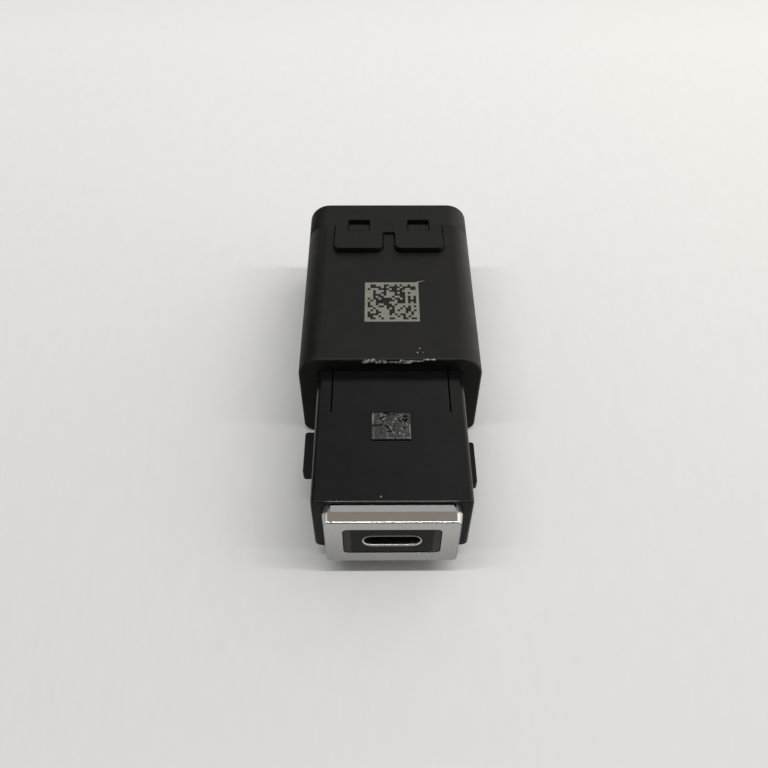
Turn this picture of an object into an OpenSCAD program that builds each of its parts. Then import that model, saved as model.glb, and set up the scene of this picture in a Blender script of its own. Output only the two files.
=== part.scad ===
/* [Port] */
// Outside width of the port shell
port_w = 8.94; // [8.6:0.02:9.4]
// Outside height of the port shell
port_h = 3.16; // [3:0.02:3.4]
// Sheet thickness of the port shell
port_wall = 0.25; // [0.25:0.05:0.4]
// Length of the port shell from its mouth to its back
port_len = 9.8; // [9:0.1:12]
// Height of the port's centre line above the underside
port_z = 10.3; // [10.1:0.02:10.5]
// Depth of the port's mouth behind the bezel's face
port_recess = 0.15; // [0.1:0.05:0.4]
// Rounding of the inner edge of the port's mouth
port_edge = 0.2; // [0.1:0.05:0.2]
// Width of the tongue in the port
tongue_w = 6.69; // [6.2:0.01:7]
// Thickness of the tongue in the port
tongue_t = 0.7; // [0.6:0.02:0.9]
// Depth of the tongue's tip behind the port's mouth
tongue_recess = 0.9; // [0.6:0.1:1.5]
// Rounding of the tongue's edges
tongue_r = 0.2; // [0.1:0.02:0.28]
// Length of the insulator block at the back of the port
tongue_block = 3.2; // [2.5:0.1:4]
// Number of contacts on each side of the tongue
contact_count = 12; // [6:2:12]
// Spacing of the contacts
contact_pitch = 0.5; // [0.45:0.01:0.52]
// Width of one contact
contact_w = 0.25; // [0.2:0.01:0.3]
// Thickness of one contact
contact_t = 0.12; // [0.1:0.01:0.15]
// Depth of the contacts' tips behind the port's mouth
blade_recess = 1.8; // [1.6:0.1:2.4]
// Reach of the upper contacts' tails behind the port
tail_upper = 1; // [0.8:0.05:1.4]
// Reach of the lower contacts' tails behind the port
tail_lower = 0.4; // [0.3:0.05:0.5]
// Width of each board leg of the port shell
leg_w = 1; // [0.8:0.1:1.4]
// Distance of the front pair of legs behind the port's mouth
leg_front = 6.1; // [6:0.1:6.4]
// Distance of the back pair of legs behind the port's mouth
leg_back = 8.4; // [8:0.1:8.6]

/* [Bezel] */
// Width of the bezel at its widest
bezel_w = 20.6; // [19.8:0.05:21]
// Height of the bezel at its widest
bezel_h = 12.25; // [11.8:0.05:12.35]
// How far the bezel's middle lies below the port
bezel_drop = 0.27; // [0.2:0.01:0.4]
// How far the bezel's sides lean in towards its face
bezel_taper = 0.3; // [0.1:0.05:0.5]
// Rounding of the edge round the bezel's face
bezel_edge = 0.3; // [0.2:0.02:0.4]
// Depth of the bezel's leaning front band
plate_depth = 1.75; // [1.4:0.05:2.1]
// Corner radius of the front band
plate_r = 1; // [0.9:0.05:1.4]
// Depth of the bezel's plain rear band
neck_depth = 1.55; // [1.4:0.05:1.8]
// Corner radius of the rear band
neck_r = 1.2; // [1.1:0.1:1.8]
// Step from the front band down to the rear band
neck_step = 0.1; // [0.05:0.05:0.2]
// Width of the bezel's window
window_w = 14.65; // [14:0.05:15.2]
// Height of the bezel's window
window_h = 7.05; // [6.6:0.05:7.6]
// How far the window's middle lies above the port
window_lift = 0.12; // [0.05:0.01:0.2]
// Corner radius of the window
window_r = 0.8; // [0.5:0.05:1.2]
// Thickness of each bezel hook
hook_t = 0.9; // [0.7:0.05:1]
// Height of each bezel hook
hook_h = 3.2; // [2.4:0.1:3.6]
// How far a hook's barb stands out
hook_barb = 0.4; // [0.2:0.05:0.6]
// Length of a hook's barb
barb_len = 1.8; // [1.2:0.1:2.2]
// Gap between each hook and the board below it
hook_lift = 1.2; // [0.8:0.1:1.6]

/* [Insert] */
// Depth of the insert's face behind the bezel's face
insert_recess = 0.04; // [0.02:0.02:0.2]
// Width of the insert's flat middle
insert_flat_w = 12.3; // [11:0.1:13]
// Depth of the flat middle below the insert's ends
insert_dish = 0.06; // [0.04:0.02:0.2]
// Thickness of the flange behind the bezel
flange_t = 1; // [0.7:0.05:1.2]
// Width of the flange beyond the window
flange_margin = 0.4; // [0.25:0.05:0.5]

/* [Front housing] */
// Width of the front housing
nose_w = 24; // [23.4:0.05:24.6]
// Height of the front housing
nose_h = 13.15; // [12.9:0.05:13.2]
// Length of the front housing in front of the rear housing
nose_len = 25.05; // [22:0.05:28]
// Length of the front housing inside the rear housing
nose_tail = 9.3; // [8:0.1:11]
// Height of the front housing's underside above the base
nose_z = 3.45; // [3.4:0.05:3.5]
// Side, roof and floor thickness of the front housing
nose_wall = 1.6; // [1.2:0.05:1.8]
// Thickness of the front wall behind the bezel's seat
nose_front = 1.6; // [1.2:0.05:2]
// Upper corner radius of the front housing
nose_r_top = 0.7; // [0.65:0.05:1]
// Lower corner radius of the front housing
nose_r_low = 1.2; // [0.8:0.05:1.5]
// Rounding of its front edge
nose_rim = 0.25; // [0.2:0.05:0.6]
// Rounding of its upright front corners
nose_corner = 0.5; // [0.4:0.1:2]
// Depth of the bezel's seat in the front wall
seat_depth = 0.25; // [0.1:0.05:0.4]
// Gap round the bezel's rear band in its seat
seat_gap = 0.2; // [0.1:0.05:0.25]
// Distance of each slit from the middle
slit_x = 9.5; // [8:0.1:9.8]
// Width of each slit
slit_w = 0.25; // [0.2:0.05:0.5]
// Length of each slit in front of the rear housing
slit_len = 8.6; // [6:0.05:10]
// Height of the catch on the snap tongue
catch_h = 0.45; // [0.3:0.05:0.5]
// Length of the catch on the snap tongue
catch_len = 1.8; // [1.2:0.1:2.4]
// Length of the catch's flat top
catch_flat = 0.45; // [0.2:0.05:0.8]
// Width of the raised pad on top
pad_w = 6.1; // [5:0.05:8]
// Length of the raised pad
pad_len = 5.1; // [4:0.05:6]
// Height of the raised pad
pad_h = 0.12; // [0.08:0.02:0.3]
// Width of the groove round the pad
groove_w = 0.22; // [0.1:0.02:0.3]
// Depth of the groove round the pad
groove_depth = 0.18; // [0.08:0.02:0.24]
// Distance of the pad behind the front wall's face
pad_y = 11.1; // [8:0.05:12]
// How far each lug stands out at the side
lug_out = 2.2; // [1.5:0.05:2.6]
// Length of each lug
lug_len = 8.2; // [7:0.1:10]
// Height of each lug
lug_h = 1.6; // [1.2:0.1:2.4]
// Corner radius of each lug
lug_r = 0.5; // [0.3:0.05:0.8]
// Distance of each lug behind the front wall's face
lug_y = 9.85; // [6:0.05:10.5]
// Top of the left lug above the front housing's underside
lug_top_left = 5.55; // [4:0.05:10]
// Top of the right lug above the front housing's underside
lug_top_right = 2.55; // [2.3:0.05:10]

/* [Rear housing] */
// Width of the rear housing
shroud_w = 30.65; // [29.8:0.05:32]
// Height of the rear housing
shroud_h = 19.4; // [19.2:0.05:20.5]
// Length of the rear housing up to the cap
shroud_len = 34.2; // [32:0.1:40]
// Side and floor thickness of the rear housing
shroud_wall = 1.6; // [1.3:0.05:1.65]
// Roof thickness of the rear housing
shroud_roof = 2.2; // [2:0.05:2.3]
// Thickness of the rear housing's front wall
shroud_front = 2; // [1.5:0.05:2.5]
// Upper corner radius of the rear housing
shroud_r_top = 4; // [3.2:0.05:4.4]
// Lower corner radius of the rear housing
shroud_r_low = 1.9; // [1.75:0.05:2.4]
// Rounding of its front edge
shroud_rim = 0.4; // [0.2:0.05:0.8]
// Length of the spigot that goes into the cap
spigot_len = 4.2; // [3.6:0.05:4.4]
// Wall thickness of the spigot
spigot_wall = 1.2; // [1:0.05:1.5]
// Length of the thicker throat in front of the seam
throat_len = 2; // [1.6:0.1:2.4]

/* [Rear cap] */
// Length of the cap behind the seam
cap_len = 6.65; // [6:0.05:8]
// Gap at the seam between the rear housing and the cap
seam_gap = 0.04; // [0.02:0.01:0.1]
// Wall thickness of the cap
cap_wall = 1; // [0.8:0.05:1.1]
// Thickness of the cap's back
cap_back = 1.5; // [1.2:0.05:1.6]
// Rounding of the cap's back edge
cap_rim = 0.7; // [0.3:0.05:0.9]
// Width of each sprung loop
loop_w = 8.9; // [8:0.05:9.2]
// Gap between the two loops
loop_gap = 2.4; // [2:0.05:4]
// Length of the loops in front of the seam
loop_len = 7.75; // [6:0.05:8.5]
// How far the loops' tips stand above the roof
loop_rise = 1.1; // [0.7:0.05:1.2]
// Corner radius of the loops' tips
loop_r = 1.2; // [0.6:0.05:1.6]
// Radius in the inner corners between the loops
gap_r = 0.5; // [0.3:0.05:0.8]
// Length of the bridge that joins the loops
bridge_len = 2.4; // [1.6:0.05:3]
// Width of the window in each loop
eye_w = 4.2; // [3:0.05:5]
// Corner radius of the window in each loop
eye_r = 0.4; // [0.2:0.05:0.5]
// Reach of each window in front of the seam
eye_front = 2; // [1.6:0.05:2.4]
// Reach of each window behind the seam
eye_back = 1.75; // [1.4:0.05:2.2]
// Length of the flat top of each roof nib
roof_nib_flat = 1.9; // [1.6:0.05:2.1]
// Length of the ramp behind it
roof_nib_ramp = 0.8; // [0.6:0.05:1]
// Length of the flat end of each lower nib
nib_flat = 0.6; // [0.4:0.05:0.8]
// Front edge of the lower windows behind the seam
low_eye_y = 1.2; // [0.8:0.05:1.4]
// Length of the lower windows
low_eye_len = 2.2; // [1.8:0.05:2.4]

/* [Rear socket] */
// Width of the rear socket
socket_w = 15; // [13:0.1:17]
// Height of the rear socket
socket_h = 8.8; // [8:0.1:9.6]
// How far the rear socket's middle lies above the housing's middle
socket_rise = 1; // [0.9:0.05:1.2]
// Corner radius of the rear socket
socket_r = 1; // [0.5:0.05:1.5]
// Depth of the rear socket
socket_depth = 10.6; // [10:0.1:11.5]
// Wall thickness of the rear socket
socket_wall = 1.3; // [1:0.05:1.6]
// Width of each keyway in the socket's roof
key_w = 1.6; // [1:0.1:2]
// Depth of each keyway
key_depth = 0.7; // [0.4:0.05:0.9]
// Distance of each keyway from the middle
key_x = 4.2; // [3:0.1:5]
// Thickness of each pin
pin_size = 0.64; // [0.5:0.02:0.7]
// Spacing of the pins
pin_pitch = 2.54; // [2.2:0.02:2.6]
// Number of pins in a row
pin_count = 4; // [2:1:5]
// Length of the pins in the socket
pin_reach = 5.7; // [4:0.1:6]
// Length of the pins below the board
pin_tail = 1.2; // [0.8:0.1:1.6]
// Thickness of the header block
block_t = 1.8; // [1.4:0.1:2.2]
// Length of the header block's feet
foot_len = 4; // [3:0.1:5]
// Width of the header block's feet
foot_w = 2.3; // [1.6:0.1:3]
// Height of the header block's feet
foot_h = 2; // [1:0.1:3]

/* [Circuit board] */
// Thickness of the circuit board
board_t = 1.6; // [1:0.1:1.6]
// Width of the board's wide rear part
board_w = 25; // [24:0.1:25.4]
// Width of the ledges that carry the board
ledge_w = 1.2; // [1:0.1:1.6]
// Height of the rails above the board
rail_h = 1; // [0.6:0.1:1.4]
// Distance of the rails behind the port
rail_start = 1; // [0.5:0.1:2]
// Length and width of the controller chip
chip_size = 5; // [4:0.1:7]
// Height of the controller chip
chip_h = 0.9; // [0.7:0.05:1.2]
// Distance of the controller chip's middle behind the port
chip_y = 10; // [8:0.1:11]
// Diameter of the dot that marks a corner of the chip
dot_d = 0.6; // [0.4:0.05:0.8]
// Inset of the dot from the chip's edges
dot_inset = 0.9; // [0.8:0.05:1.2]
// Depth of the dot
dot_depth = 0.1; // [0.05:0.01:0.2]
// Length and width of the inductor
coil_size = 7.2; // [6:0.1:7.6]
// Height of the inductor
coil_h = 4; // [3:0.1:5]
// Corner radius of the inductor
coil_r = 0.9; // [0.5:0.05:1.5]
// Distance of the inductor from the middle
coil_x = 6.4; // [6:0.1:7]
// Diameter of the bulk capacitors
bulk_d = 6.3; // [5:0.1:6.4]
// Height of the bulk capacitors
bulk_h = 7.7; // [5:0.1:8]
// Height of a bulk capacitor's base
bulk_base_h = 0.8; // [0.6:0.05:1.2]
// Corner radius of a bulk capacitor's base
bulk_base_r = 0.8; // [0.4:0.05:1.2]
// Distance of the inner bulk capacitor from the middle
bulk_x = 1.9; // [1.6:0.1:2]
// Gap between neighbouring pieces on the wide part of the board
part_gap = 0.5; // [0.3:0.05:0.6]
// Distance of these pieces in front of the pins
pin_gap = 1.7; // [1.4:0.1:2]
// Length of a ceramic capacitor
ceramic_l = 3.2; // [2:0.1:3.4]
// Width and height of a ceramic capacitor
ceramic_w = 1.6; // [1.2:0.1:1.8]
// Distance of the ceramic capacitors from the middle
ceramic_x = 6.9; // [6.6:0.1:7.4]
// Spacing of the ceramic capacitors
ceramic_pitch = 4.2; // [3.8:0.1:4.6]
// Length of a switch transistor
switch_l = 5; // [4:0.1:5.4]
// Height of a switch transistor
switch_h = 1; // [0.7:0.05:1.4]
// Distance of each switch transistor from the middle
switch_x = 3.2; // [3:0.1:4]
// Length of the surge diode
diode_l = 4.6; // [4:0.1:5]
// Width of the surge diode
diode_w = 3.7; // [3:0.1:4]
// Height of the surge diode
diode_h = 2.2; // [1.8:0.1:2.6]
// Distance of the surge diode's middle behind the port
diode_y = 20; // [18:0.1:20.5]
// Length of a chip resistor
resistor_l = 1.6; // [1:0.1:2]
// Width of a chip resistor
resistor_w = 0.8; // [0.5:0.05:0.9]
// Height of a chip resistor
resistor_h = 0.55; // [0.35:0.05:0.6]
// Distance of the chip resistors from the middle
resistor_x = 4.6; // [4.3:0.1:5]
// Spacing of the chip resistors
resistor_pitch = 2.4; // [2.2:0.1:2.6]

/* [Fits] */
// Gap between parts that slide or snap together
fit = 0.1; // [0.05:0.01:0.15]
// Gap round parts that must not touch
clear = 0.2; // [0.15:0.01:0.25]
// Gap round each contact and pin in its insulator
pin_fit = 0.02; // [0.01:0.01:0.04]

/* [Hidden] */
$fn = 48;
// Reach of a cut past the face it opens
past = 1;
// Reach of a raised shape into the shape it grows from
root = 0.5;
sides = [-1, 1];

// Planes from front to back, with the origin at the middle of the whole length
bezel_depth = plate_depth + neck_depth;
y_front = -(bezel_depth - seat_depth + nose_len + shroud_len + cap_len) / 2;
y_mouth = y_front + port_recess;
y_seat = y_front + bezel_depth;
y_nose = y_seat - seat_depth;
y_wall = y_seat + nose_front;
y_shroud = y_nose + nose_len;
y_tail = y_shroud + nose_tail;
y_seam = y_shroud + shroud_len;
y_back = y_seam + cap_len;
y_port_back = y_mouth + port_len;
y_block = y_back - socket_depth - block_t;

// Middle of the bezel and of its window
bezel_z = port_z - bezel_drop;
window_z = port_z + window_lift;

// Heights of the board and its neighbours
nose_floor = nose_z + nose_wall;
nose_top = nose_z + nose_h;
nose_inner_w = nose_w - 2 * nose_wall;
shroud_inner_w = shroud_w - 2 * shroud_wall;
shroud_inner_h = shroud_h - shroud_wall - shroud_roof;
board_top = port_z - port_h / 2;
board_low = board_top - board_t;
socket_z = shroud_h / 2 + socket_rise;
pin_rows = [socket_z - pin_pitch / 2, socket_z + pin_pitch / 2];

// Ends of the board and where it widens
board_nose_w = nose_inner_w - 2 * clear;
y_board = y_wall + clear;
y_board_wide = y_tail + 2 * clear;
y_board_end = y_block - clear;

// The cap and the spigot inside it
spigot_step = cap_wall + fit;
spigot_w = shroud_w - 2 * spigot_step;
spigot_h = shroud_h - 2 * spigot_step;
spigot_top = shroud_h - spigot_step;

// The sprung loops: where they leave the cap, and how they slope
y_loop_root = y_seam + spigot_step / 2;
y_loop_tip = y_seam - loop_len;
loop_slope = loop_rise / (y_loop_root - y_loop_tip);
loop_x = (loop_gap + loop_w) / 2;
loops_w = loop_gap + 2 * loop_w;
function loop_top(y) = shroud_h + (y_loop_root - y) * loop_slope;

// Where a row's legs go down into the board, with the upper row further from the socket
function leg_y(row) = y_block - foot_len / 2 - row * pin_pitch;

// Middle of the controller chip, and the back line of the pieces on the wide part of the board
y_chip = y_port_back + chip_y;
y_parts = leg_y(1) - pin_size / 2 - pin_gap;

// The bezel's hooks stand clear of the board
hook_x = window_w / 2 + flange_margin + clear + hook_t / 2;
hook_z = board_top + hook_lift + hook_h / 2;

// Shell legs, from the front pair to the back pair
leg_ys = [y_mouth + leg_front, y_mouth + leg_back];

// Extrudes a shape drawn across the part (x, z) from one y to another
module along_y(y0, y1) {
    translate([0, y1, 0])
        rotate([90, 0, 0])
            linear_extrude(y1 - y0)
                children();
}

// Extrudes a shape drawn along the part (y, z) from one x to another
module along_x(x0, x1) {
    translate([x0, 0, 0])
        rotate([90, 0, 90])
            linear_extrude(x1 - x0)
                children();
}

// Rectangle standing on the x axis with its own upper and lower corner radius
module soft_rect(w, h, r_top, r_low) {
    translate([-w / 2, r_low])
        square([w, h - r_top - r_low]);
    translate([r_low - w / 2, 0])
        square([w - 2 * r_low, h / 2]);
    translate([r_top - w / 2, h / 2])
        square([w - 2 * r_top, h / 2]);
    for (s = sides) {
        translate([s * (w / 2 - r_low), r_low])
            circle(r_low);
        translate([s * (w / 2 - r_top), h - r_top])
            circle(r_top);
    }
}

// The same rectangle centred on the origin with one radius
module round_rect(w, h, r) {
    translate([0, -h / 2])
        soft_rect(w, h, r, r);
}

// Upright slot with fully round ends, centred on the origin
module stadium(w, h) {
    square([w - h, h], center = true);
    for (s = sides)
        translate([s * (w - h) / 2, 0])
            circle(h / 2);
}

// Upper half of a block whose edge section (out, back) is the child, with corner radius $r
module framed_half(w, h, r, l) {
    $r = r;
    translate([r - w / 2, 0, 0])
        cube([w - 2 * r, l, h - r]);
    for (s = [0, 1])
        mirror([s, 0, 0])
            translate([w / 2 - r, 0, 0]) {
                linear_extrude(h - r)
                    children();
                translate([0, 0, h - r])
                    rotate([-90, 0, 0])
                        rotate([0, 0, -90])
                            rotate_extrude(angle = 90)
                                children();
            }
    translate([w / 2 - r, 0, h - r])
        rotate([0, -90, 0])
            linear_extrude(w - 2 * r)
                children();
}

// Block with its own upper and lower corner radius, and the child as its edge section
module framed_block(w, h, r_top, r_low, l) {
    translate([0, 0, h / 2]) {
        framed_half(w, h / 2, r_top, l)
            children();
        mirror([0, 0, 1])
            framed_half(w, h / 2, r_low, l)
                children();
    }
}

// Edge section with a rounded front edge
module round_front(l, f) {
    translate([0, f])
        square([$r, l - f]);
    square([$r - f, l]);
    intersection() {
        translate([$r - f, f])
            circle(f);
        translate([$r - f, 0])
            square(f);
    }
}

// Edge section with a rounded back edge
module round_back(l, f) {
    translate([0, l])
        mirror([0, 1])
            round_front(l, f);
}

// Edge section of the bezel's leaning front band, whose front edge is an arc that meets both sides smoothly
module leaning_front() {
    lean = atan(bezel_taper / plate_depth);
    arc_x = $r - bezel_taper - bezel_edge * (1 - sin(lean)) / cos(lean);
    polygon([
        [0, 0],
        [arc_x, 0],
        [arc_x + bezel_edge * cos(lean), bezel_edge * (1 - sin(lean))],
        [$r, plate_depth],
        [0, plate_depth]
    ]);
    intersection() {
        translate([arc_x, bezel_edge])
            circle(bezel_edge);
        translate([arc_x, 0])
            square(bezel_edge);
    }
}

// The bezel's plain rear band from a given y to its seat, grown all round by a gap
module rear_band(y0, grow) {
    inset = neck_step - grow;
    translate([0, 0, bezel_z])
        along_y(y0, y_seat)
            round_rect(bezel_w - 2 * inset, bezel_h - 2 * inset, neck_r + grow);
}

// Hook on the right side of the bezel, with its barb behind the front wall
module bezel_hook() {
    y_barb = y_wall + fit;
    translate([hook_x - hook_t / 2, 0, hook_z - hook_h / 2])
        linear_extrude(hook_h)
            polygon([
                [0, y_seat - root],
                [hook_t, y_seat - root],
                [hook_t, y_barb],
                [hook_t + hook_barb, y_barb],
                [hook_t / 2, y_barb + barb_len],
                [0, y_barb + barb_len]
            ]);
}

module bezel_frame() {
    color("#c9cbcc")
    difference() {
        union() {
            translate([0, y_front, bezel_z - bezel_h / 2])
                framed_block(bezel_w, bezel_h, plate_r, plate_r, plate_depth)
                    leaning_front();
            rear_band(y_front + plate_depth, 0);
            for (s = [0, 1])
                mirror([s, 0, 0])
                    bezel_hook();
        }
        translate([0, 0, window_z]) {
            along_y(y_front - past, y_seat + past)
                round_rect(window_w, window_h, window_r);
            along_y(y_seat - flange_t, y_seat + past)
                round_rect(window_w + 2 * flange_margin, window_h + 2 * flange_margin, window_r);
        }
    }
}

// Plan of the insert: two ends that lean in to a flat middle
module insert_plan() {
    half = window_w / 2;
    flat_half = insert_flat_w / 2;
    y_face = y_front + insert_recess;
    polygon([
        [-half, y_face],
        [-flat_half, y_face + insert_dish],
        [flat_half, y_face + insert_dish],
        [half, y_face],
        [half, y_seat],
        [-half, y_seat]
    ]);
}

module port_insert() {
    flange_w = window_w + 2 * flange_margin - 2 * fit;
    flange_h = window_h + 2 * flange_margin - 2 * fit;
    color("#262626")
    difference() {
        union() {
            intersection() {
                translate([0, 0, window_z - window_h / 2])
                    linear_extrude(window_h)
                        insert_plan();
                translate([0, 0, window_z])
                    along_y(y_front, y_seat)
                        round_rect(window_w - 2 * fit, window_h - 2 * fit, window_r);
            }
            translate([0, 0, window_z])
                along_y(y_seat - flange_t, y_seat)
                    round_rect(flange_w, flange_h, window_r);
        }
        translate([0, 0, port_z])
            along_y(y_front - past, y_seat + past)
                stadium(port_w + 2 * fit, port_h + 2 * fit);
    }
}

// Section (out, back) of what the rounding takes off the inner edge of the port's mouth
module mouth_section() {
    inner_r = port_h / 2 - port_wall;
    difference() {
        translate([inner_r - root, -past])
            square([port_edge + root, port_edge + past]);
        translate([inner_r + port_edge, port_edge])
            circle(port_edge);
    }
}

// Rounding of the inner edge of the port's mouth, all the way round
module mouth_rounding() {
    half = (port_w - port_h) / 2;
    translate([0, y_mouth, port_z])
        for (s = [0, 1]) {
            mirror([s, 0, 0])
                translate([half, 0, 0])
                    rotate([-90, 0, 0])
                        rotate_extrude()
                            mouth_section();
            mirror([0, 0, s])
                translate([half, 0, 0])
                    rotate([0, -90, 0])
                        linear_extrude(2 * half)
                            mouth_section();
        }
}

module port_shell() {
    color("#b9b7b2")
    difference() {
        union() {
            translate([0, 0, port_z])
                along_y(y_mouth, y_port_back)
                    stadium(port_w, port_h);
            for (s = [0, 1])
                mirror([s, 0, 0])
                    for (y = leg_ys)
                        translate([port_w / 2 - port_wall, y - leg_w / 2, board_low - port_wall])
                            cube([port_wall, leg_w, port_z - board_low + port_wall]);
        }
        translate([0, 0, port_z])
            along_y(y_mouth - past, y_port_back + past)
                stadium(port_w - 2 * port_wall, port_h - 2 * port_wall);
        mouth_rounding();
    }
}

// Calls its child once at the place of every contact across the tongue
module each_contact() {
    for (i = [0 : contact_count - 1])
        translate([(i - (contact_count - 1) / 2) * contact_pitch, 0, 0])
            children();
}

module port_tongue() {
    block_w = port_w - 2 * port_wall - 2 * pin_fit;
    block_h = port_h - 2 * port_wall - 2 * pin_fit;
    groove = contact_w + 2 * pin_fit;
    color("#1f1f20")
    translate([0, 0, port_z])
    difference() {
        union() {
            along_y(y_port_back - tongue_block, y_port_back)
                stadium(block_w, block_h);
            along_y(y_mouth + tongue_recess, y_port_back - tongue_block + root)
                round_rect(tongue_w, tongue_t, tongue_r);
        }
        for (s = sides)
            each_contact()
                along_y(y_mouth + blade_recess - pin_fit, y_port_back + past)
                    translate([0, s * tongue_t / 2])
                        square([groove, 2 * (contact_t + pin_fit)], center = true);
    }
}

// One contact seen from the side: a blade along the tongue and a tail down to the board
module contact_side(z_out, y_tail_back) {
    y_blade = y_mouth + blade_recess;
    low = z_out - contact_t;
    polygon([
        [y_blade, low],
        [y_tail_back - contact_t, low],
        [y_tail_back - contact_t, board_top],
        [y_tail_back, board_top],
        [y_tail_back, low + contact_t],
        [y_blade, low + contact_t]
    ]);
}

module contacts_upper() {
    color("#c8a655")
    each_contact()
        along_x(-contact_w / 2, contact_w / 2)
            contact_side(port_z + tongue_t / 2, y_port_back + tail_upper);
}

module contacts_lower() {
    color("#c8a655")
    each_contact()
        along_x(-contact_w / 2, contact_w / 2)
            contact_side(port_z - tongue_t / 2 + contact_t, y_port_back + tail_lower);
}

// Lug on the right side of the front housing with its top at a given height
module side_lug(top) {
    out = nose_w / 2 + lug_out;
    translate([0, y_nose + lug_y, nose_z + top - lug_h])
        linear_extrude(lug_h) {
            translate([nose_w / 2 - root, 0])
                square([lug_out + root - lug_r, lug_len]);
            translate([nose_w / 2, lug_r])
                square([lug_out, lug_len - 2 * lug_r]);
            for (y = [lug_r, lug_len - lug_r])
                translate([out - lug_r, y])
                    circle(lug_r);
        }
}

// What the rounding takes off the right upright front corner of the front housing
module nose_corner_cut() {
    translate([nose_w / 2 - nose_corner, y_nose + nose_corner, nose_z - past])
        linear_extrude(nose_h + 2 * past)
            difference() {
                translate([0, -nose_corner - past])
                    square([nose_corner + past, nose_corner + past]);
                circle(nose_corner);
            }
}

// One slit beside the snap tongue, open towards the back
module tongue_slit() {
    y_slit = y_shroud - slit_len + slit_w / 2;
    translate([slit_x, 0, nose_top - nose_wall - past]) {
        translate([0, y_slit, 0])
            cylinder(d = slit_w, h = nose_wall + 2 * past);
        translate([-slit_w / 2, y_slit, 0])
            cube([slit_w, y_tail - y_slit + past, nose_wall + 2 * past]);
    }
}

// Catch across the snap tongue, behind the rear housing's front wall
module tongue_catch() {
    y_catch = y_shroud + shroud_front + fit;
    half = slit_x - slit_w;
    along_x(-half, half)
        polygon([
            [y_catch, nose_top - root],
            [y_catch, nose_top + catch_h],
            [y_catch + catch_flat, nose_top + catch_h],
            [y_catch + catch_len, nose_top],
            [y_catch + catch_len, nose_top - root]
        ]);
}

// Ledge under the board and rail above it, along the right inner wall of the front housing
module board_groove() {
    wall_x = nose_inner_w / 2;
    y_rail = y_port_back + rail_start;
    translate([wall_x - ledge_w, y_wall - root, nose_floor - root])
        cube([ledge_w + root, y_tail - y_wall + root, board_low - nose_floor + root]);
    translate([wall_x - ledge_w, y_rail, board_top + fit])
        cube([ledge_w + root, y_tail - y_rail, rail_h]);
}

module front_housing() {
    cavity_h = nose_h - 2 * nose_wall;
    color("#1c1c1d")
    difference() {
        union() {
            difference() {
                translate([0, y_nose, nose_z])
                    framed_block(nose_w, nose_h, nose_r_top, nose_r_low, nose_len + nose_tail)
                        round_front(nose_len + nose_tail, nose_rim);
                rear_band(y_nose - past, seat_gap);
                for (s = [0, 1])
                    mirror([s, 0, 0])
                        nose_corner_cut();
                translate([-nose_inner_w / 2, y_wall, nose_floor])
                    cube([nose_inner_w, nose_len + nose_tail, cavity_h]);
                translate([-pad_w / 2 - groove_w, y_nose + pad_y - groove_w, nose_top - groove_depth])
                    cube([pad_w + 2 * groove_w, pad_len + 2 * groove_w, past]);
            }
            for (s = [0, 1])
                mirror([s, 0, 0])
                    board_groove();
            side_lug(lug_top_right);
            mirror([1, 0, 0])
                side_lug(lug_top_left);
            tongue_catch();
            translate([-pad_w / 2, y_nose + pad_y, nose_top - root])
                cube([pad_w, pad_len, pad_h + root]);
        }
        for (s = [0, 1])
            mirror([s, 0, 0]) {
                tongue_slit();
                translate([hook_x - hook_t / 2 - clear, y_seat - past, hook_z - hook_h / 2 - clear])
                    cube([hook_t + hook_barb + 2 * clear, nose_front + 2 * past, hook_h + 2 * clear]);
            }
        translate([0, 0, port_z])
            along_y(y_nose - past, y_wall + past)
                stadium(port_w + 2 * clear, port_h + 2 * clear);
    }
}

// Plan of the two loops and their bridge, grown all round by a gap
module loops_plan(grow) {
    tip = y_loop_tip - grow;
    r = loop_r + grow;
    w = loop_w + 2 * grow;
    for (s = sides)
        translate([s * loop_x, 0]) {
            translate([-w / 2, tip + r])
                square([w, y_loop_root - tip - r]);
            translate([r - w / 2, tip])
                square([w - 2 * r, 2 * r]);
            for (t = sides)
                translate([t * (w / 2 - r), tip + r])
                    circle(r);
        }
    translate([-loops_w / 2, y_seam - bridge_len - grow])
        square([loops_w, bridge_len + grow + y_loop_root - y_seam]);
    fillet = gap_r - grow;
    for (s = [0, 1])
        mirror([s, 0])
            translate([loop_gap / 2 - grow - fillet, y_seam - bridge_len - grow - fillet])
                difference() {
                    square(fillet + root);
                    circle(fillet);
                }
}

// Sloping pocket in the roof under the loops
module loops_pocket() {
    y_low = y_loop_tip - 2 * clear;
    y_high = y_seam + past;
    intersection() {
        along_x(-shroud_w, shroud_w)
            polygon([
                [y_low, loop_top(y_low) - cap_wall - clear],
                [y_high, loop_top(y_high) - cap_wall - clear],
                [y_high, shroud_h + past],
                [y_low, shroud_h + past]
            ]);
        translate([0, 0, socket_z])
            linear_extrude(shroud_h)
                loops_plan(clear);
    }
}

// Catch nib on the roof that stands in a loop's window
module roof_nib() {
    y_nib = y_seam - eye_front + clear;
    y_ramp = y_nib + roof_nib_flat;
    y_end = y_ramp + roof_nib_ramp;
    foot = spigot_top - root;
    half = eye_w / 2 - clear;
    along_x(loop_x - half, loop_x + half)
        polygon([
            [y_nib, foot],
            [y_nib, loop_top(y_nib) - clear / 2],
            [y_ramp, loop_top(y_ramp) - clear / 2],
            [y_end, spigot_top + clear / 2],
            [y_end, foot]
        ]);
}

// Catch nib below the spigot that stands in a lower window of the cap
module floor_nib() {
    y_nib = y_seam + low_eye_y + clear;
    y_end = y_seam + low_eye_y + low_eye_len - clear;
    half = eye_w / 2 - clear;
    along_x(loop_x - half, loop_x + half)
        polygon([
            [y_nib, spigot_step + root],
            [y_nib, clear],
            [y_nib + nib_flat, clear],
            [y_end, spigot_step - clear / 2],
            [y_end, spigot_step + root]
        ]);
}

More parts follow.
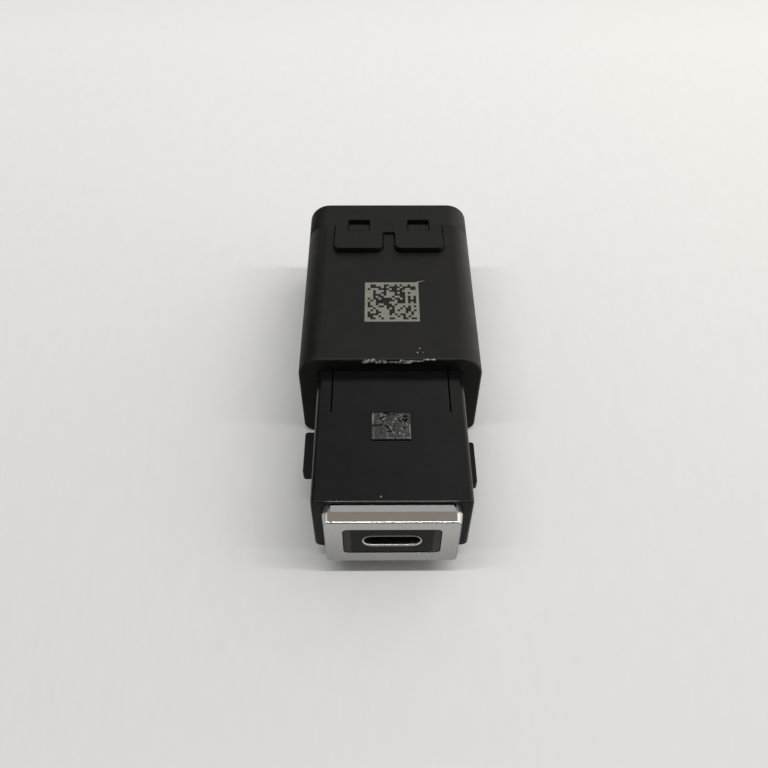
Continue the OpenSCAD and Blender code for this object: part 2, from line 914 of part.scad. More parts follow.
// Rib on the floor of the rear housing that carries the board's wide part
module board_rib() {
    rib_x = board_w / 2 - ledge_w;
    translate([rib_x - ledge_w, y_tail + fit, shroud_wall - root])
        cube([ledge_w, y_board_end - y_tail - fit, board_low - shroud_wall + root]);
}

module rear_housing() {
    body_len = shroud_len - seam_gap;
    inner_low_r = shroud_r_low - shroud_wall;
    inner_top_r = shroud_r_top - shroud_wall;
    spigot_r_top = shroud_r_top - spigot_step;
    spigot_r_low = shroud_r_low - spigot_step;
    throat_w = spigot_w - 2 * spigot_wall;
    throat_h = spigot_h - 2 * spigot_wall;
    color("#1a1a1b")
    difference() {
        union() {
            difference() {
                union() {
                    difference() {
                        translate([0, y_shroud, 0])
                            framed_block(shroud_w, shroud_h, shroud_r_top, shroud_r_low, body_len)
                                round_front(body_len, shroud_rim);
                        loops_pocket();
                    }
                    translate([0, 0, spigot_step])
                        along_y(y_seam - throat_len, y_seam + spigot_len)
                            soft_rect(spigot_w, spigot_h, spigot_r_top, spigot_r_low);
                }
                translate([0, 0, shroud_wall])
                    along_y(y_shroud + shroud_front, y_seam - throat_len)
                        soft_rect(shroud_inner_w, shroud_inner_h, inner_top_r, inner_low_r);
                translate([0, 0, spigot_step + spigot_wall])
                    along_y(y_seam - throat_len - past, y_seam + spigot_len + past)
                        soft_rect(throat_w, throat_h, inner_top_r, inner_low_r);
            }
            for (s = [0, 1])
                mirror([s, 0, 0]) {
                    roof_nib();
                    floor_nib();
                    board_rib();
                }
        }
        translate([0, 0, nose_z - fit])
            along_y(y_shroud - past, y_shroud + shroud_front + past)
                soft_rect(nose_w + 2 * fit, nose_h + 2 * fit, nose_r_top + fit, nose_r_low + fit);
    }
}

module rear_cap() {
    hood_len = y_back - y_seam;
    tunnel_w = socket_w + 2 * socket_wall;
    tunnel_h = socket_h + 2 * socket_wall;
    inner_w = shroud_w - 2 * cap_wall;
    inner_h = shroud_h - 2 * cap_wall;
    color("#1b1b1c")
    difference() {
        union() {
            difference() {
                union() {
                    translate([0, y_seam, 0])
                        framed_block(shroud_w, shroud_h, shroud_r_top, shroud_r_low, hood_len)
                            round_back(hood_len, cap_rim);
                    intersection() {
                        along_x(-shroud_w / 2, shroud_w / 2)
                            polygon([
                                [y_loop_tip, loop_top(y_loop_tip)],
                                [y_loop_root, shroud_h],
                                [y_loop_root, shroud_h - cap_wall],
                                [y_loop_tip, loop_top(y_loop_tip) - cap_wall]
                            ]);
                        translate([0, 0, socket_z])
                            linear_extrude(shroud_h)
                                loops_plan(0);
                    }
                }
                translate([0, 0, cap_wall])
                    along_y(y_seam - past, y_back - cap_back)
                        soft_rect(inner_w, inner_h, shroud_r_top - cap_wall, shroud_r_low - cap_wall);
            }
            translate([0, 0, socket_z])
                along_y(y_back - socket_depth, y_back - cap_back / 2)
                    round_rect(tunnel_w, tunnel_h, socket_r + socket_wall);
        }
        translate([0, 0, socket_z])
            along_y(y_back - socket_depth - past, y_back + past)
                round_rect(socket_w, socket_h, socket_r);
        for (s = sides) {
            translate([s * key_x - key_w / 2, y_back - socket_depth / 2, socket_z])
                cube([key_w, socket_depth, socket_h / 2 + key_depth]);
            translate([s * loop_x, y_seam + (eye_back - eye_front) / 2, spigot_top - root])
                linear_extrude(shroud_h)
                    round_rect(eye_w, eye_front + eye_back, eye_r);
            translate([s * loop_x - eye_w / 2, y_seam + low_eye_y, -past])
                cube([eye_w, low_eye_len, cap_wall + 2 * past]);
        }
    }
}

// Calls its child once at the place of every pin in a row
module each_pin() {
    for (i = [0 : pin_count - 1])
        translate([(i - (pin_count - 1) / 2) * pin_pitch, 0, 0])
            children();
}

module header_block() {
    block_w = socket_w + 2 * socket_wall;
    block_h = socket_h + 2 * socket_wall;
    hole = pin_size + 2 * pin_fit;
    color("#2b2b2c")
    difference() {
        union() {
            translate([0, 0, socket_z])
                along_y(y_block, y_block + block_t)
                    round_rect(block_w, block_h, socket_r + socket_wall);
            for (s = sides)
                translate([s * (block_w - foot_w) / 2 - foot_w / 2, y_block - foot_len, board_top])
                    cube([foot_w, foot_len + block_t, foot_h]);
        }
        for (z = pin_rows)
            translate([0, y_block + block_t / 2, z])
                each_pin()
                    cube([hole, block_t + 2 * past, hole], center = true);
    }
}

// Row of bent pins from the socket through the block and down through the board
module pin_row(row) {
    z = pin_rows[row];
    y = leg_y(row);
    half = pin_size / 2;
    y_tip = y_block + block_t + pin_reach;
    color("#b8b39f")
    each_pin()
        along_x(-half, half)
            polygon([
                [y - half, board_low - pin_tail],
                [y + half, board_low - pin_tail],
                [y + half, z - half],
                [y_tip - half, z - half],
                [y_tip, z - half / 2],
                [y_tip, z + half / 2],
                [y_tip - half, z + half],
                [y - half, z + half]
            ]);
}

module header_pins_upper() {
    pin_row(1);
}

module header_pins_lower() {
    pin_row(0);
}

module circuit_board() {
    hole_d = norm([pin_size, pin_size]) + fit;
    slot_w = port_wall + 2 * clear;
    color("#1f4d33")
    difference() {
        translate([0, 0, board_low])
            linear_extrude(board_t) {
                translate([-board_nose_w / 2, y_board])
                    square([board_nose_w, y_board_end - y_board]);
                translate([-board_w / 2, y_board_wide])
                    square([board_w, y_board_end - y_board_wide]);
            }
        for (row = [0, 1])
            each_pin()
                translate([0, leg_y(row), board_low - past])
                    cylinder(d = hole_d, h = board_t + 2 * past);
        for (s = sides, y = leg_ys)
            translate([s * (port_w - port_wall) / 2, y, board_low + board_t / 2])
                cube([slot_w, leg_w + 2 * clear, board_t + 2 * past], center = true);
    }
}

module controller_chip() {
    dot_x = chip_size / 2 - dot_inset;
    color("#26282a")
    translate([0, y_chip, board_top])
        difference() {
            linear_extrude(chip_h)
                square(chip_size, center = true);
            translate([-dot_x, dot_x, chip_h - dot_depth])
                cylinder(d = dot_d, h = past);
        }
}

module power_inductor() {
    color("#3a3b3d")
    translate([coil_x, y_parts - coil_size / 2, board_top])
        linear_extrude(coil_h)
            round_rect(coil_size, coil_size, coil_r);
}

module bulk_capacitors() {
    color("#9a9b9e")
    for (i = [0, 1])
        translate([-bulk_x - i * (bulk_d + part_gap), y_parts - bulk_d / 2, board_top]) {
            linear_extrude(bulk_base_h)
                round_rect(bulk_d, bulk_d, bulk_base_r);
            cylinder(d = bulk_d - clear, h = bulk_h);
        }
}

module ceramic_capacitors() {
    color("#b49a72")
    for (s = sides, i = [-1 : 1])
        translate([s * ceramic_x, y_chip + i * ceramic_pitch, board_top])
            linear_extrude(ceramic_w)
                square([ceramic_w, ceramic_l], center = true);
}

module switch_transistors() {
    y_switch = y_parts - coil_size - part_gap - switch_l / 2;
    color("#222426")
    for (s = sides)
        translate([s * switch_x, y_switch, board_top])
            linear_extrude(switch_h)
                square(switch_l, center = true);
}

module surge_diode() {
    color("#232325")
    translate([0, y_port_back + diode_y, board_top])
        linear_extrude(diode_h)
            square([diode_l, diode_w], center = true);
}

module chip_resistors() {
    color("#2a2a2a")
    for (s = sides, i = [-1 : 1])
        translate([s * resistor_x, y_chip + i * resistor_pitch, board_top])
            linear_extrude(resistor_h)
                square([resistor_w, resistor_l], center = true);
}

bezel_frame();
port_insert();
port_shell();
port_tongue();
contacts_upper();
contacts_lower();
front_housing();
rear_housing();
rear_cap();
header_block();
header_pins_upper();
header_pins_lower();
circuit_board();
controller_chip();
power_inductor();
bulk_capacitors();
ceramic_capacitors();
switch_transistors();
surge_diode();
chip_resistors();
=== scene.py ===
"""Looks of a panel-mount USB-C charging socket: finishes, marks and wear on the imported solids."""
import math
import random

import bpy
from mathutils import Matrix, Vector, noise


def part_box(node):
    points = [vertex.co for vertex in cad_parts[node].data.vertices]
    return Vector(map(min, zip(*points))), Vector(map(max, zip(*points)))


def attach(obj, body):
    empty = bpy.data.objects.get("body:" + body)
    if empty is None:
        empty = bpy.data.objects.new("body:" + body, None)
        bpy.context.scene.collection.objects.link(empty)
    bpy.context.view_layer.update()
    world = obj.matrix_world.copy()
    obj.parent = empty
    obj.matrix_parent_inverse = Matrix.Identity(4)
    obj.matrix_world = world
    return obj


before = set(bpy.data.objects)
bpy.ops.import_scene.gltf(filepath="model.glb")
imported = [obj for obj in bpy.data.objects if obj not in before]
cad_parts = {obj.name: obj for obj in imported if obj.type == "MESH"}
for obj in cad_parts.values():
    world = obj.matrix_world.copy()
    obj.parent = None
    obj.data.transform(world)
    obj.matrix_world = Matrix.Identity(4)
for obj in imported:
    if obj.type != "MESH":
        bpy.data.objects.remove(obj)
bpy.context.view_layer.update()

MM = 0.001
SEED = 11

# Places on the solids, in millimetres in the part's own frame
REAR_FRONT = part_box("rear_housing")[0].y / MM
NOSE_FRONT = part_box("front_housing")[0].y / MM
BEZEL_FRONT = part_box("bezel_frame")[0].y / MM
ROOF_Z = 19.4                            # flat of the rear housing's roof
REAR_RIM = 0.4                           # rounding of the rear housing's front edge
NOSE_TOP = 16.6                          # flat top of the front housing
NOSE_HALF = 10                           # half width over which the front housing's painted rim highlight and sheen ramp are set
BEZEL_STEP = BEZEL_FRONT + 1.75          # back of the bezel's plate
BEZEL_SHOULDER = (14.2, 14.6)            # heights between which the bezel's upper edges begin
BEZEL_LOW_SHADE = (14.5, 3.5)                 # heights between which painted shade darkens the plating downwards
PORT_FIELD = 6.15                        # half width of the insert's dull middle
PAD_W = 6.1                              # raised pad on the front housing
PAD_LEN = 5.1
PAD_BACK = NOSE_FRONT + 11.1 + PAD_LEN
PAD_TOP = 16.72

# Tones painted on the bezel's plating: painted shade on its sides and a painted highlight on its
# upper front edges
BEZEL_SIDE_SHADE = (0.05, 0.05, 0.05)
BEZEL_EDGE_HIGHLIGHT = (0.62, 0.62, 0.615)


# Shorthand for material nodes

def new_material(name, color, roughness, metallic=0.0, sheen=0.5):
    """Principled material with even values on the shader; returns it, its tree and the shader."""
    mat = bpy.data.materials.new(name)
    mat.use_nodes = True
    shader = mat.node_tree.nodes["Principled BSDF"]
    shader.inputs["Base Color"].default_value = (*color, 1)
    shader.inputs["Roughness"].default_value = roughness
    shader.inputs["Metallic"].default_value = metallic
    shader.inputs["Specular IOR Level"].default_value = sheen
    return mat, mat.node_tree, shader


def feed(tree, socket, value):
    """Joins an output to a socket, or sets the socket's own value."""
    if isinstance(value, bpy.types.NodeSocket):
        tree.links.new(value, socket)
    else:
        socket.default_value = value


def millimetres(tree, stretch=(1, 1, 1)):
    """Object coordinates in millimetres, stretched per axis."""
    where = tree.nodes.new("ShaderNodeTexCoord")
    scale = tree.nodes.new("ShaderNodeVectorMath")
    scale.operation = "MULTIPLY"
    scale.inputs[1].default_value = [s / MM for s in stretch]
    tree.links.new(where.outputs["Object"], scale.inputs[0])
    return scale.outputs[0]


def cloudy(tree, vector, size, detail=2.0, roughness=0.5):
    """Noise whose patches are about size millimetres wide, from 0 to 1."""
    tex = tree.nodes.new("ShaderNodeTexNoise")
    tex.inputs["Scale"].default_value = 1 / size
    tex.inputs["Detail"].default_value = detail
    tex.inputs["Roughness"].default_value = roughness
    tree.links.new(vector, tex.inputs["Vector"])
    return tex.outputs["Fac"]


def spread(tree, value, low, high, out_low, out_high, smooth=False):
    """Maps low..high to out_low..out_high and holds it there."""
    remap = tree.nodes.new("ShaderNodeMapRange")
    if smooth:
        remap.interpolation_type = "SMOOTHSTEP"
    for socket, v in zip(remap.inputs, (value, low, high, out_low, out_high)):
        feed(tree, socket, v)
    return remap.outputs[0]


def blend(tree, share, first, second):
    """Colour mixed from first to second by share."""
    mixer = tree.nodes.new("ShaderNodeMix")
    mixer.data_type = "RGBA"
    feed(tree, mixer.inputs[0], share)
    for socket, color in ((mixer.inputs[6], first), (mixer.inputs[7], second)):
        feed(tree, socket, color if isinstance(color, bpy.types.NodeSocket) else (*color, 1))
    return mixer.outputs[2]


def sums(tree, operation, first, second):
    """One step of arithmetic on two values."""
    step = tree.nodes.new("ShaderNodeMath")
    step.operation = operation
    feed(tree, step.inputs[0], first)
    feed(tree, step.inputs[1], second)
    return step.outputs[0]


def both(tree, *shares):
    """Share where all the given shares hold."""
    whole = shares[0]
    for share in shares[1:]:
        whole = sums(tree, "MULTIPLY", whole, share)
    return whole


def within(tree, value, rise, fall):
    """Share that comes up over the two values of rise and goes down over the two values of fall."""
    return both(tree, spread(tree, value, *rise, 0, 1), spread(tree, value, *fall, 1, 0))


def relief(tree, shader, height, depth):
    """Bump of the given depth in millimetres from a height between 0 and 1."""
    bump = tree.nodes.new("ShaderNodeBump")
    bump.inputs["Strength"].default_value = 1.0
    bump.inputs["Distance"].default_value = depth * MM
    tree.links.new(height, bump.inputs["Height"])
    tree.links.new(bump.outputs[0], shader.inputs["Normal"])


# Materials

def moulded(name, color, roughness, sheen, grain=0.16, depth=0.006):
    """Black moulded plastic: fine eroded grain, faint flow clouds and handling smears."""
    mat, tree, shader = new_material(name, color, roughness, 0.0, sheen)
    mm = millimetres(tree)
    fine = cloudy(tree, mm, grain, 3)
    clouds = cloudy(tree, mm, 3.5, 4, 0.6)
    lighter = [c * 1.6 for c in color]
    cloudy_share = spread(tree, clouds, 0.35, 0.7, 0, 1)
    feed(tree, shader.inputs["Base Color"], blend(tree, cloudy_share, color, lighter))
    dull = spread(tree, clouds, 0.3, 0.7, roughness - 0.05, roughness + 0.07)
    grainy = spread(tree, fine, 0.3, 0.7, -0.05, 0.05)
    feed(tree, shader.inputs["Roughness"], sums(tree, "ADD", dull, grainy))
    relief(tree, shader, fine, depth)
    return mat


def along(tree, axis):
    """One object coordinate in millimetres."""
    split = tree.nodes.new("ShaderNodeSeparateXYZ")
    tree.links.new(millimetres(tree), split.inputs[0])
    return split.outputs[axis]


def dull_middle(mat, half, dull, bright):
    """Lowers the sheen of a finish between -half and half across."""
    tree = mat.node_tree
    across = sums(tree, "ABSOLUTE", along(tree, 0), 0)
    sheen = tree.nodes["Principled BSDF"].inputs["Specular IOR Level"]
    feed(tree, sheen, spread(tree, across, half - 0.05, half + 0.05, dull, bright))
    return mat


def way(tree, axis):
    """How far a face looks along one axis, from -1 to 1."""
    split = tree.nodes.new("ShaderNodeSeparateXYZ")
    tree.links.new(tree.nodes.new("ShaderNodeNewGeometry").outputs["Normal"], split.inputs[0])
    return split.outputs[axis]


def painted_sheen_by_facing(mat, top, front, left, right):
    """Painted light: sheen of a housing set by the way its faces look, standing in for how the
    light falls on its top, front and sides.
    """
    tree = mat.node_tree
    sheen = spread(tree, way(tree, 1), -0.9, -0.5, front, top)
    sheen = spread(tree, way(tree, 0), -0.6, -0.15, left, sheen)
    sheen = spread(tree, way(tree, 0), 0.15, 0.6, sheen, right)
    feed(tree, tree.nodes["Principled BSDF"].inputs["Specular IOR Level"], sheen)
    return mat


def refinish(mat, share, roughness, sheen):
    """Changes a finish to another roughness and sheen by share."""
    tree = mat.node_tree
    for name, value in (("Roughness", roughness), ("Specular IOR Level", sheen)):
        socket = tree.nodes["Principled BSDF"].inputs[name]
        feed(tree, socket, spread(tree, share, 0, 1, socket.links[0].from_socket, value))
    return mat


def glossy_top(mat, top, half, roughness, sheen_left, sheen_right):
    """Smooth gloss on a housing's uppermost face, with a painted sheen that grows from left to
    right, standing in for the brighter light on the right.
    """
    tree = mat.node_tree
    high = spread(tree, along(tree, 2), top - 0.3, top - 0.2, 0, 1)
    flat = spread(tree, way(tree, 2), 0.9, 0.97, 0, 1)
    sheen = spread(tree, along(tree, 0), -half, half, sheen_left, sheen_right)
    return refinish(mat, both(tree, high, flat), roughness, sheen)


def highlight_long_edges(mat, top, reach, roughness, sheen):
    """Smoother, shinier rounded edges between a housing's top face and its two sides: a painted
    highlight.
    """
    tree = mat.node_tree
    sideways = sums(tree, "ABSOLUTE", way(tree, 0), 0)
    turned = within(tree, sideways, (0.2, 0.35), (0.93, 0.98))
    high = spread(tree, along(tree, 2), top - reach, top - 0.9 * reach, 0, 1)
    return refinish(mat, both(tree, turned, high), roughness, sheen)


def highlight_rim(mat, front, top, reach, half, roughness, sheen):
    """Painted highlight: smoother, shinier finish along the edge between front and top, between
    -half and half across.
    """
    tree = mat.node_tree
    near_front = spread(tree, along(tree, 1), front + reach, front + 0.8 * reach, 0, 1)
    near_top = spread(tree, along(tree, 2), top - reach, top - 0.8 * reach, 0, 1)
    across = sums(tree, "ABSOLUTE", along(tree, 0), 0)
    middle = spread(tree, across, half, half - 1, 0, 1)
    return refinish(mat, both(tree, near_front, near_top, middle), roughness, sheen)


def plated(name, color, roughness, step):
    """Bright plating with a fine haze: painted shade darkens it low down and at its sides, and a
    painted highlight brightens its upper front edges.
    """
    mat, tree, shader = new_material(name, color, roughness, 1.0)
    brushed = cloudy(tree, millimetres(tree, (0.25, 3, 3)), 0.12, 3)
    dull = cloudy(tree, millimetres(tree), 1.6, 4, 0.65)
    hazy = spread(tree, dull, 0.45, 0.75, roughness, roughness + 0.01)
    sideways = sums(tree, "ABSOLUTE", way(tree, 0), 0)
    upper = spread(tree, along(tree, 2), *BEZEL_SHOULDER, 0, 1)
    corner = both(tree, within(tree, sideways, (0.1, 0.3), (0.9, 0.98)), upper)
    feed(tree, shader.inputs["Roughness"], spread(tree, corner, 0, 1, hazy, 0.45))
    darker = [c * 0.92 for c in color]
    # Painted shade: the colour darkens to 0.62 of itself low down on the bezel
    lower = [c * 0.62 for c in color]
    patchy = blend(tree, spread(tree, dull, 0.4, 0.8, 0, 1), color, darker)
    shaded_low = blend(tree, spread(tree, along(tree, 2), *BEZEL_LOW_SHADE, 0, 1), patchy, lower)
    # Painted highlight: pale colour on the upper front edges ahead of the plate's back
    in_front = spread(tree, along(tree, 1), step - 0.1, step + 0.1, 1, 0)
    edge = both(tree, within(tree, way(tree, 2), (0.3, 0.6), (0.96, 0.98)), upper, in_front)
    # Painted shade: faces that look left or right are darkened, more on the right
    left = blend(tree, spread(tree, way(tree, 0), -0.15, -0.6, 0, 0.3), shaded_low, BEZEL_SIDE_SHADE)
    sides = blend(tree, spread(tree, way(tree, 0), 0.1, 0.5, 0, 0.62), left, BEZEL_SIDE_SHADE)
    feed(tree, shader.inputs["Base Color"], blend(tree, edge, sides, BEZEL_EDGE_HIGHLIGHT))
    relief(tree, shader, brushed, 0.0001)
    return mat


def drawn_metal(name, color, roughness, stretch=(3, 0.3, 3)):
    """Drawn or rolled metal with faint lines along its length."""
    mat, tree, shader = new_material(name, color, roughness, 1.0)
    lines = cloudy(tree, millimetres(tree, stretch), 0.1, 3)
    dull = spread(tree, lines, 0.3, 0.7, roughness - 0.06, roughness + 0.08)
    feed(tree, shader.inputs["Roughness"], dull)
    darker = [c * 0.82 for c in color]
    streaky = spread(tree, lines, 0.35, 0.75, 0, 1)
    feed(tree, shader.inputs["Base Color"], blend(tree, streaky, color, darker))
    relief(tree, shader, lines, 0.001)
    return mat


def speckled(name, color, other, size, roughness, depth=0.004):
    """Two-tone grainy body, such as a pressed powder, a fired ceramic or a laminate."""
    mat, tree, shader = new_material(name, color, roughness)
    grains = cloudy(tree, millimetres(tree), size, 3, 0.6)
    grainy = spread(tree, grains, 0.35, 0.65, 0, 1)
    feed(tree, shader.inputs["Base Color"], blend(tree, grainy, color, other))
    dull = spread(tree, grains, 0.3, 0.7, roughness - 0.06, roughness + 0.06)
    feed(tree, shader.inputs["Roughness"], dull)
    relief(tree, shader, grains, depth)
    return mat


def etched(name, color, burnt):
    """Surface foamed light by a laser, with the beam's lines across it."""
    mat, tree, shader = new_material(name, color, 0.75)
    lines = cloudy(tree, millimetres(tree, (0.4, 4, 1)), 0.25, 3)
    streaky = spread(tree, lines, 0.35, 0.7, 0, 1)
    feed(tree, shader.inputs["Base Color"], blend(tree, streaky, color, burnt))
    feed(tree, shader.inputs["Roughness"], spread(tree, lines, 0.3, 0.7, 0.65, 0.85))
    relief(tree, shader, lines, 0.004)
    return mat


def scraped(name, bright, dark, stretch, size, z_dark=None, z_bright=None):
    """Scraped plastic: pale torn streaks; where heights are given, painted shade makes the deep
    scrapes dark and dull and a painted highlight makes the crests paler.
    """
    mat, tree, shader = new_material(name, bright, 0.5)
    streaks = cloudy(tree, millimetres(tree, stretch), size, 4, 0.6)
    share = spread(tree, streaks, 0.4, 0.62, 0, 1)
    color = blend(tree, share, dark, bright)
    # Painted shade in the gouges and painted highlight on the crests
    if z_dark is not None:
        raised = spread(tree, along(tree, 2), z_dark, z_bright, 0, 1, True)
        crest_highlight = spread(tree, along(tree, 2), z_bright + 0.022, z_bright + 0.04, 0, 1, True)
        color = blend(tree, crest_highlight, color, [c * 3.6 for c in bright])
        color = blend(tree, raised, [c * 0.02 for c in dark], color)
        feed(tree, shader.inputs["Specular IOR Level"], spread(tree, raised, 0, 0.6, 0.02, 0.5))
    feed(tree, shader.inputs["Base Color"], color)
    feed(tree, shader.inputs["Roughness"], spread(tree, streaks, 0.3, 0.7, 0.6, 0.38))
    relief(tree, shader, streaks, 0.012)
    return mat


def nose_finish():
    """Finish of the front housing: painted sheen by facing, a glossy top with a painted sheen ramp,
    and painted highlights on its long edges and front rim.
    """
    mat = moulded("nose_plastic", (0.0038, 0.0038, 0.0039), 0.46, 0.2)
    painted_sheen_by_facing(mat, top=0.18, front=0.13, left=0.1, right=0.22)
    glossy_top(mat, NOSE_TOP, NOSE_HALF, roughness=0.18, sheen_left=0.17, sheen_right=0.25)
    highlight_long_edges(mat, NOSE_TOP, reach=1, roughness=0.22, sheen=0.3)
    return highlight_rim(mat, NOSE_FRONT, NOSE_TOP, 0.3, NOSE_HALF, roughness=0.2, sheen=0.9)


def rear_finish():
    """Finish of the rear housing and its cap, with a painted sheen that is strongest on the faces
    that look right.
    """
    mat = moulded("rear_plastic", (0.005, 0.005, 0.0048), 0.5, 0.25)
    return painted_sheen_by_facing(mat, top=0.25, front=0.12, left=0.085, right=0.34)


def insert_finish():
    """Finish of the insert: dull round the port and shinier at its two ends."""
    mat = moulded("insert_plastic", (0.004, 0.0039, 0.0038), 0.4, 0.3, 0.1, 0.003)
    return dull_middle(mat, PORT_FIELD, 0.09, 0.26)


MATERIALS = {
    "bezel_frame": plated("bright_plating", (0.48, 0.48, 0.473), 0.12, BEZEL_STEP),
    "port_insert": insert_finish(),
    "port_shell": drawn_metal("nickel_sheet", (0.56, 0.55, 0.53), 0.22),
    "port_tongue": moulded("tongue_plastic", (0.006, 0.006, 0.006), 0.5, 0.3, 0.08, 0.002),
    "contacts_upper": drawn_metal("gold_strip", (0.83, 0.62, 0.25), 0.25),
    "front_housing": nose_finish(),
    "rear_housing": rear_finish(),
    "header_block": moulded("header_plastic", (0.012, 0.012, 0.012), 0.5, 0.4, 0.12, 0.003),
    "header_pins_upper": drawn_metal("tinned_pins", (0.71, 0.69, 0.64), 0.3),
    "circuit_board": speckled("solder_mask", (0.012, 0.075, 0.03), (0.018, 0.1, 0.042),
                              0.5, 0.3, 0.002),
    "controller_chip": speckled("chip_resin", (0.02, 0.02, 0.022), (0.032, 0.032, 0.034),
                                0.12, 0.55),
    "power_inductor": speckled("pressed_powder", (0.05, 0.05, 0.054), (0.085, 0.084, 0.086),
                               0.2, 0.6),
    "bulk_capacitors": drawn_metal("can_aluminium", (0.72, 0.73, 0.75), 0.3, (3, 3, 0.3)),
    "ceramic_capacitors": speckled("fired_ceramic", (0.36, 0.25, 0.14), (0.45, 0.33, 0.2),
                                   0.15, 0.45),
    "chip_resistors": speckled("glazed_resistor", (0.015, 0.015, 0.016), (0.03, 0.03, 0.03),
                               0.2, 0.3),
}
SAME_AS = {
    "contacts_lower": "contacts_upper",
    "rear_cap": "rear_housing",
    "header_pins_lower": "header_pins_upper",
    "switch_transistors": "controller_chip",
    "surge_diode": "controller_chip",
}
ETCHED = etched("etched_mark", (0.21, 0.2, 0.175), (0.15, 0.142, 0.12))
SCUFFED = scraped("torn_edge", (0.46, 0.46, 0.45), (0.03, 0.03, 0.03), (1, 0.35, 0.35), 0.45)
PAD_FACE = scraped("scraped_pad", (0.037, 0.038, 0.039), (0.004, 0.0045, 0.005), (1, 0.6, 1), 0.42,
                   z_dark=PAD_TOP + 0.008, z_bright=PAD_TOP + 0.03)


# The solids' own finishes and softened edges

# Rounding of each solid's sharp edges, in millimetres
EDGES = {"bezel_frame": 0.03, "front_housing": 0.08, "rear_housing": 0.08, "rear_cap": 0.08,
         "port_insert": 0.05, "port_shell": 0.04, "header_block": 0.06}
# Merging flat facets before the rounding turns a triangle of this solid over, so it keeps them
KEEPS_FACETS = "front_housing"
WELD_GAP = 0.0005                        # millimetres between corners that are joined
FLAT_ANGLE = math.radians(0.4)           # facets that turn less than this are merged
SHARP_ANGLE = math.radians(38)           # edges that turn more than this are rounded


def soften(obj, width, flatten):
    """Joins a solid's split faces, merges its flat facets if asked and rounds its sharp edges."""
    weld = obj.modifiers.new("join", "WELD")
    weld.merge_threshold = WELD_GAP * MM
    if flatten:
        flat = obj.modifiers.new("flat", "DECIMATE")
        flat.decimate_type = "DISSOLVE"
        flat.angle_limit = FLAT_ANGLE
    round_off = obj.modifiers.new("edges", "BEVEL")
    round_off.width = width * MM
    round_off.segments = 2
    round_off.limit_method = "ANGLE"
    round_off.angle_limit = SHARP_ANGLE
    round_off.use_clamp_overlap = True
    round_off.harden_normals = True


def dress_solids():
    """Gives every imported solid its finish."""
    for name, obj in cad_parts.items():
        obj.data.materials.clear()
        obj.data.materials.append(MATERIALS[SAME_AS.get(name, name)])
        if name in EDGES:
            soften(obj, EDGES[name], name != KEEPS_FACETS)


# Marks and wear

def add_piece(name, points, faces, material, smooth=False):
    """New mesh piece from points in millimetres, riding with the solids."""
    mesh = bpy.data.meshes.new(name)
    mesh.from_pydata([Vector(p) * MM for p in points], [], faces)
    mesh.update()
    obj = bpy.data.objects.new(name, mesh)
    bpy.context.scene.collection.objects.link(obj)
    mesh.materials.append(material)
    for face in mesh.polygons:
        face.use_smooth = smooth
    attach(obj, "root")
    return obj


def no_corner_touch(keep):
    """Adds cells until no two kept cells meet at a corner only."""
    changed = True
    while changed:
        changed = False
        for i, j in sorted(keep):
            for di in (-1, 1):
                if (i + di, j + 1) in keep and (i + di, j) not in keep and (i, j + 1) not in keep:
                    keep.add((i + di, j))
                    changed = True
    return keep


def shell_from_cells(keep, top, low):
    """Closed shell over the kept cells of a grid, whose corners are top(i, j) and low(i, j)."""
    points, faces, index = [], [], {}

    def corner(i, j, make):
        key = (i, j, make)
        if key not in index:
            index[key] = len(points)
            points.append(make(i, j))
        return index[key]

    for i, j in sorted(keep):
        ring = ((i, j), (i + 1, j), (i + 1, j + 1), (i, j + 1))
        faces.append([corner(*c, top) for c in ring])
        faces.append([corner(*c, low) for c in reversed(ring)])
        beside = ((i, j - 1), (i + 1, j), (i, j + 1), (i - 1, j))
        for n, other in enumerate(beside):
            if other not in keep:
                a, b = ring[n], ring[(n + 1) % 4]
                faces.append([corner(*a, low), corner(*b, low), corner(*b, top), corner(*a, top)])
    return points, faces


def box_rows(boxes):
    """Points and faces of closed boxes, each given as its low and high corner."""
    sides = ((3, 2, 1, 0), (4, 5, 6, 7), (0, 1, 5, 4), (1, 2, 6, 5), (2, 3, 7, 6), (3, 0, 4, 7))
    points, faces = [], []
    for low, high in boxes:
        base = len(points)
        points += [(x, y, z) for z in (low[2], high[2]) for x, y in
                   ((low[0], low[1]), (high[0], low[1]), (high[0], high[1]), (low[0], high[1]))]
        faces += [[base + k for k in side] for side in sides]
    return points, faces


# Etched field on the roof, in millimetres, and its share of light cells
MARK_LEFT, MARK_RIGHT = -4.33, 5.11
MARK_FRONT, MARK_BACK = REAR_FRONT + 8.66, REAR_FRONT + 18.33
MARK_MARGIN = 0.5
MARK_CELLS = 18
MARK_H = 0.012
MARK_SINK = 0.004
MARK_GAP = 0.004
MARK_SHARE = 0.52


